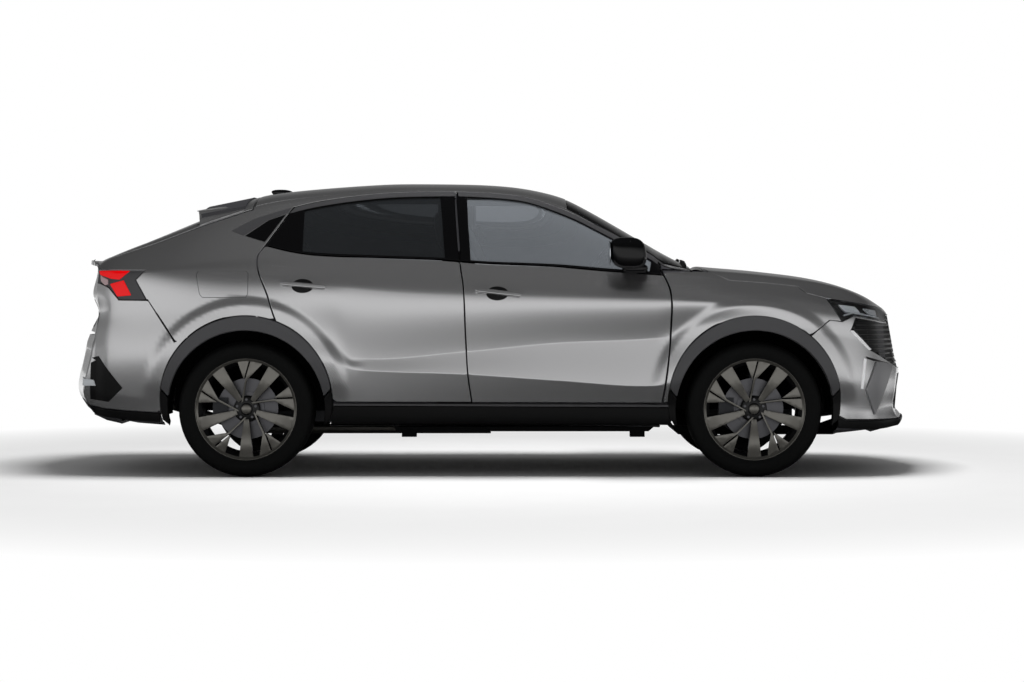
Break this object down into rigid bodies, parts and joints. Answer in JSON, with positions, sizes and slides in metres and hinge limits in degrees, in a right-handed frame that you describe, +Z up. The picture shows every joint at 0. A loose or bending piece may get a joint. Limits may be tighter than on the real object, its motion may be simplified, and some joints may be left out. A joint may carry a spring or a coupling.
{
  "type": "coupe sport utility vehicle",
  "caption": "Five-door coupe sport utility vehicle with a sloping fastback roof, opening doors, bonnet and tailgate, steered front wheels and rolling wheels.",
  "frame": {"origin": "on the ground, midway between nose and tail on the centre plane", "axes": "+X forward along the car, +Y to its left, +Z up"},
  "size_m": [4.7106, 2.0652, 1.6128],
  "materials": {
    "body_paint": "metallic grey clear-coated paint",
    "black_trim": "grained black plastic",
    "satin_trim": "satin grey painted plastic",
    "gloss_black": "gloss black",
    "clear_glass": "clear glass",
    "privacy_glass": "dark tinted glass",
    "lamp_clear": "clear lamp cover over a bright reflector",
    "lamp_red": "red lamp cover",
    "tyre": "black rubber",
    "wheel_alloy": "machined taupe-grey alloy",
    "pressed_steel": "dark coated steel",
    "cast_steel": "bare cast metal",
    "exhaust_steel": "dull stainless steel",
    "cabin_plastic": "soft-touch dark plastic",
    "seat_trim": "dark seat covers"
  },
  "bodies": {
    "body": {"floor_pan": "pressed_steel", "side_frame_left": "body_paint", "side_frame_right": "body_paint", "roof_panel": "body_paint", "windscreen": "clear_glass", "cowl": "black_trim", "wipers": "black_trim", "fender_left": "body_paint", "fender_right": "body_paint", "front_bumper": "body_paint", "grille": "black_trim", "headlamps": "lamp_clear", "daytime_lamps": "lamp_clear", "rear_bumper": "body_paint", "tail_lamps": "lamp_red", "arch_trims": "satin_trim", "arch_liners": "black_trim", "sill_trims": "black_trim", "undertray": "black_trim", "front_suspension": "pressed_steel", "rear_axle": "pressed_steel", "exhaust": "exhaust_steel", "engine_block": "cast_steel", "dashboard": "cabin_plastic", "steering_wheel": "cabin_plastic", "front_seats": "seat_trim", "rear_bench": "seat_trim", "centre_console": "cabin_plastic", "hinges": "cast_steel"},
    "wheel_front_left": {"rim_front_left": "wheel_alloy", "tyre_front_left": "tyre"},
    "wheel_front_right": {"rim_front_right": "wheel_alloy", "tyre_front_right": "tyre"},
    "wheel_rear_left": {"rim_rear_left": "wheel_alloy", "tyre_rear_left": "tyre"},
    "wheel_rear_right": {"rim_rear_right": "wheel_alloy", "tyre_rear_right": "tyre"},
    "steering_left": {"knuckle_left": "cast_steel"},
    "steering_right": {"knuckle_right": "cast_steel"},
    "front_door_left": {"door_front_left": "body_paint", "glass_front_left": "clear_glass", "handle_front_left": "body_paint", "mirror_left": "gloss_black"},
    "front_door_right": {"door_front_right": "body_paint", "glass_front_right": "clear_glass", "handle_front_right": "body_paint", "mirror_right": "gloss_black"},
    "rear_door_left": {"door_rear_left": "body_paint", "glass_rear_left": "privacy_glass", "handle_rear_left": "body_paint"},
    "rear_door_right": {"door_rear_right": "body_paint", "glass_rear_right": "privacy_glass", "handle_rear_right": "body_paint"},
    "bonnet_lid": {"bonnet": "body_paint"},
    "tailgate_lid": {"tailgate": "body_paint", "tailgate_glass": "privacy_glass"}
  },
  "joints": [
    {"name": "steer_left", "type": "hinge", "parent": "body", "child": "steering_left", "pos_m": [1.432, 0.74, 0.365], "axis": [0, 0, 1], "range_deg": [-35, 35]},
    {"name": "steer_right", "type": "hinge", "parent": "body", "child": "steering_right", "pos_m": [1.432, -0.74, 0.365], "axis": [0, 0, 1], "range_deg": [-35, 35]},
    {"name": "spin_front_left", "type": "hinge", "parent": "steering_left", "child": "wheel_front_left", "pos_m": [1.432, 0.795, 0.365], "axis": [0, 1, 0], "continuous": true},
    {"name": "spin_front_right", "type": "hinge", "parent": "steering_right", "child": "wheel_front_right", "pos_m": [1.432, -0.795, 0.365], "axis": [0, 1, 0], "continuous": true},
    {"name": "spin_rear_left", "type": "hinge", "parent": "body", "child": "wheel_rear_left", "pos_m": [-1.306, 0.795, 0.365], "axis": [0, 1, 0], "continuous": true},
    {"name": "spin_rear_right", "type": "hinge", "parent": "body", "child": "wheel_rear_right", "pos_m": [-1.306, -0.795, 0.365], "axis": [0, 1, 0], "continuous": true},
    {"name": "open_front_door_left", "type": "hinge", "parent": "body", "child": "front_door_left", "pos_m": [0.928, 0.89, 0.75], "axis": [0, 0, -1], "range_deg": [0, 70]},
    {"name": "open_front_door_right", "type": "hinge", "parent": "body", "child": "front_door_right", "pos_m": [0.928, -0.89, 0.75], "axis": [0, 0, 1], "range_deg": [0, 70]},
    {"name": "open_rear_door_left", "type": "hinge", "parent": "body", "child": "rear_door_left", "pos_m": [-0.185, 0.886, 0.75], "axis": [0, 0, -1], "range_deg": [0, 70]},
    {"name": "open_rear_door_right", "type": "hinge", "parent": "body", "child": "rear_door_right", "pos_m": [-0.185, -0.886, 0.75], "axis": [0, 0, 1], "range_deg": [0, 70]},
    {"name": "open_bonnet", "type": "hinge", "parent": "body", "child": "bonnet_lid", "pos_m": [1.182, 0, 1.102], "axis": [0, -1, 0], "range_deg": [0, 55]},
    {"name": "open_tailgate", "type": "hinge", "parent": "body", "child": "tailgate_lid", "pos_m": [-1.316, 0, 1.51196], "axis": [0, 1, 0], "range_deg": [0, 75]}
  ],
  "couplings": [
    {"joint": "steer_right", "follows": "steer_left", "ratio": 1}
  ]
}
